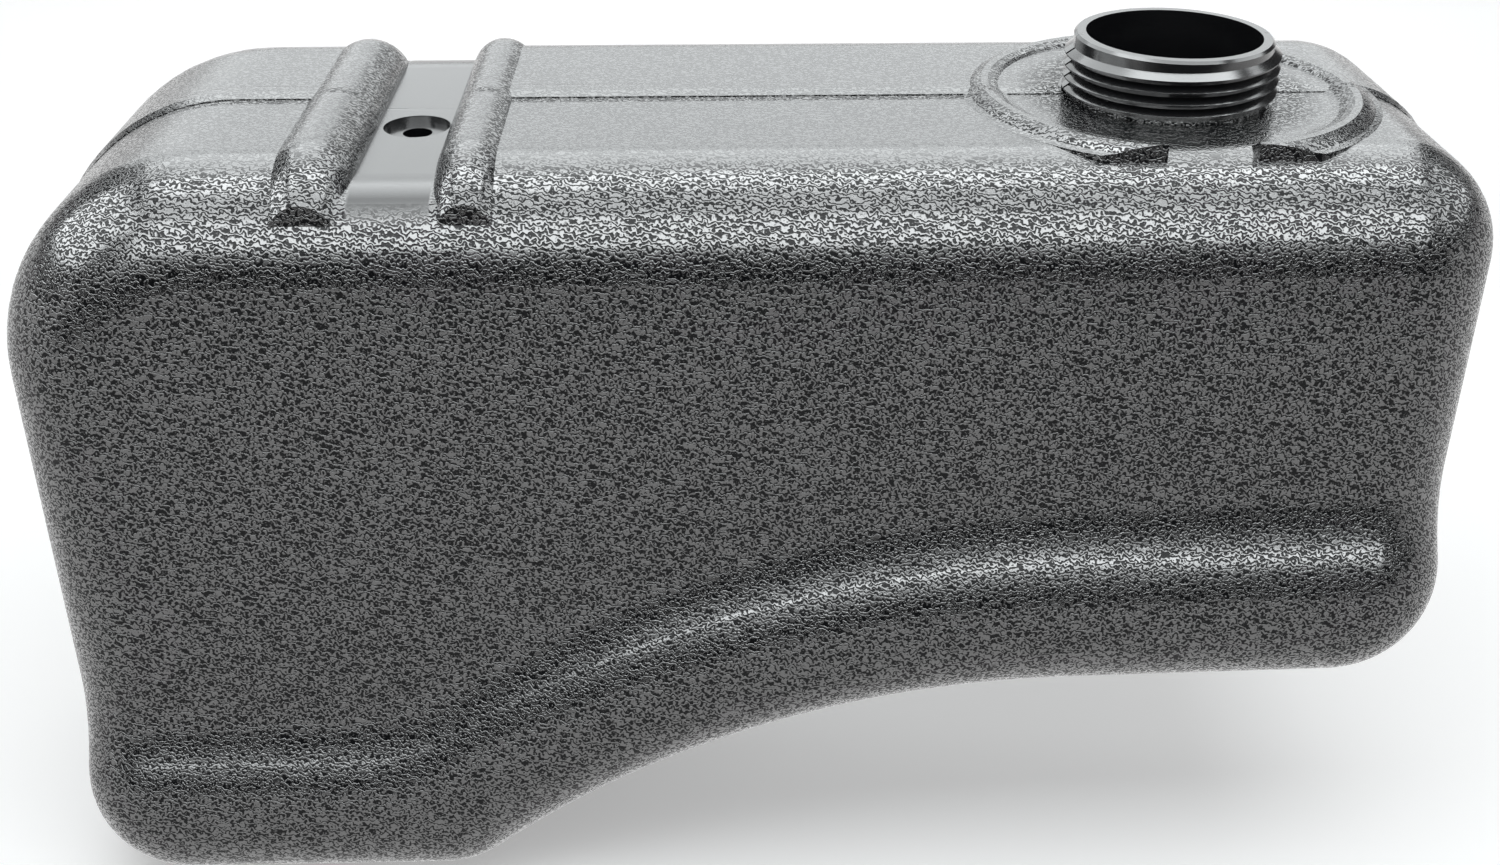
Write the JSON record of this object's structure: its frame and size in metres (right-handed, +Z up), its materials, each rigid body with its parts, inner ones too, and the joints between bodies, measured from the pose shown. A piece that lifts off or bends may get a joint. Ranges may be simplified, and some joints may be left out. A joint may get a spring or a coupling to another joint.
{
  "type": "fuel tank",
  "caption": "Blow-moulded plastic fuel tank with a wheel arch under it, a threaded filler neck with a spill dam, a strap channel between ribs and a vent hole.",
  "frame": {"origin": "where the filler neck's axis crosses the tank's top surface", "axes": "+X along the tank towards the neck's end, +Y to the back, +Z up along the neck"},
  "size_m": [0.5435, 0.216, 0.3289],
  "materials": {
    "tank": "black high-density polyethylene with a leather grain, satin"
  },
  "bodies": {
    "root": {"tank": "tank"}
  },
  "joints": []
}
